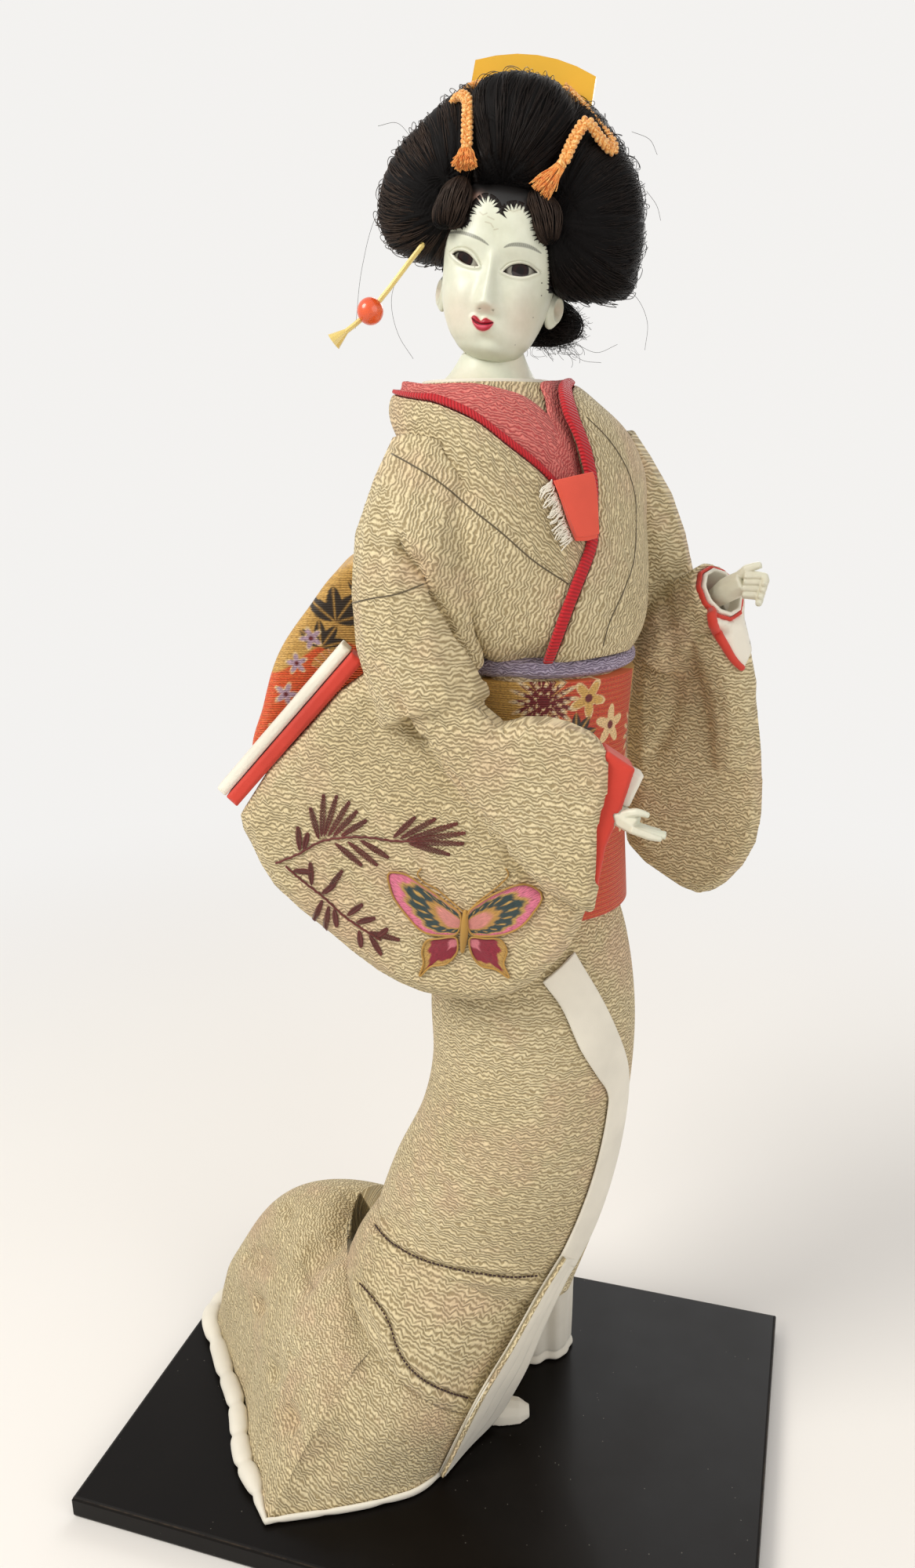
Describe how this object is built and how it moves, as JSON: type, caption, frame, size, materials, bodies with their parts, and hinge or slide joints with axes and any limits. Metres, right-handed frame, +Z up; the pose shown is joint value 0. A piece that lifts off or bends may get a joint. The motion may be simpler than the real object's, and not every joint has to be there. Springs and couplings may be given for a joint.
{
  "type": "costume doll",
  "caption": "Standing costume doll in a trailing kimono with sash, dressed hair, comb and hairpin, raised hands and a lacquered wooden display board.",
  "frame": {"origin": "centre of the board's underside", "axes": "+X along the board's long front edge to the viewer's right, +Y towards the back, +Z up; the doll faces between +X and -Y"},
  "size_m": [0.24, 0.166, 0.4819],
  "materials": {
    "board_lacquer": "glossy black lacquer, worn thin at the edges",
    "nail_steel": "plain wire nail",
    "kimono_crepe": "greenish beige silk crepe with a wavy ridged face",
    "white_silk": "plain white silk",
    "red_silk": "red crepe lining",
    "pink_crepe": "pink crepe",
    "orange_silk": "orange silk with a frayed edge",
    "lavender_crepe": "lavender crepe",
    "obi_brocade": "orange and gold brocade",
    "body_straw": "bound straw",
    "limb_wadding": "cotton wadding on wire",
    "skin_gofun": "satin shell-white coat on a moulded body",
    "eye_glass": "dark brown glass",
    "hair_silk": "combed black silk floss",
    "comb_amber": "clear amber",
    "bead_coral": "opaque coral orange",
    "hair_cord": "braided orange and gold cord"
  },
  "bodies": {
    "figure": {"arm_left": "limb_wadding", "arm_right": "limb_wadding", "base_board": "board_lacquer", "bodice": "kimono_crepe", "body_core": "body_straw", "chest_tissue": "orange_silk", "collar_left": "kimono_crepe", "collar_right": "kimono_crepe", "cuff_red_left": "red_silk", "cuff_red_right": "red_silk", "cuff_white_left": "white_silk", "cuff_white_right": "white_silk", "foot_left": "white_silk", "foot_right": "white_silk", "front_band": "white_silk", "furi_red": "red_silk", "furi_white": "white_silk", "hand_left": "skin_gofun", "hand_right": "skin_gofun", "hem_rim": "white_silk", "inner_collar": "white_silk", "leg_left": "limb_wadding", "leg_right": "limb_wadding", "nail_left": "nail_steel", "nail_right": "nail_steel", "obi": "obi_brocade", "obi_age": "lavender_crepe", "obi_bow": "obi_brocade", "obi_pillow": "limb_wadding", "obi_tail": "obi_brocade", "piping_left": "red_silk", "piping_right": "red_silk", "skirt": "kimono_crepe", "skirt_band": "kimono_crepe", "sleeve_left": "kimono_crepe", "sleeve_right": "kimono_crepe", "train": "kimono_crepe", "under_collar_left": "pink_crepe", "under_collar_right": "pink_crepe", "under_robe": "white_silk"},
    "head": {"head": "skin_gofun", "eye_right": "eye_glass", "eye_left": "eye_glass", "hair_cap": "hair_silk", "hair_back": "hair_silk", "hair_knot": "hair_silk", "hair_front": "hair_silk", "hair_right": "hair_silk", "hair_left": "hair_silk", "hair_nape": "hair_silk", "forelock_right": "hair_silk", "forelock_left": "hair_silk", "hair_cord_right": "hair_cord", "hair_cord_left": "hair_cord", "tassel_right": "hair_cord", "tassel_left": "hair_cord"},
    "comb": {"comb": "comb_amber"},
    "hairpin": {"hairpin": "comb_amber", "pin_bead": "bead_coral"}
  },
  "joints": [
    {"name": "head_turn", "type": "hinge", "parent": "figure", "child": "head", "pos_m": [0.01702, 0.00751, 0.385], "axis": [0, 0, 1], "range_deg": [-20, 20]},
    {"name": "comb_lift", "type": "slide", "parent": "head", "child": "comb", "axis": [0.1769, 0.0437, 0.9833], "range_m": [0, 0.03]},
    {"name": "hairpin_draw", "type": "slide", "parent": "head", "child": "hairpin", "axis": [-0.641, -0.1946, -0.7425], "range_m": [0, 0.018]}
  ]
}
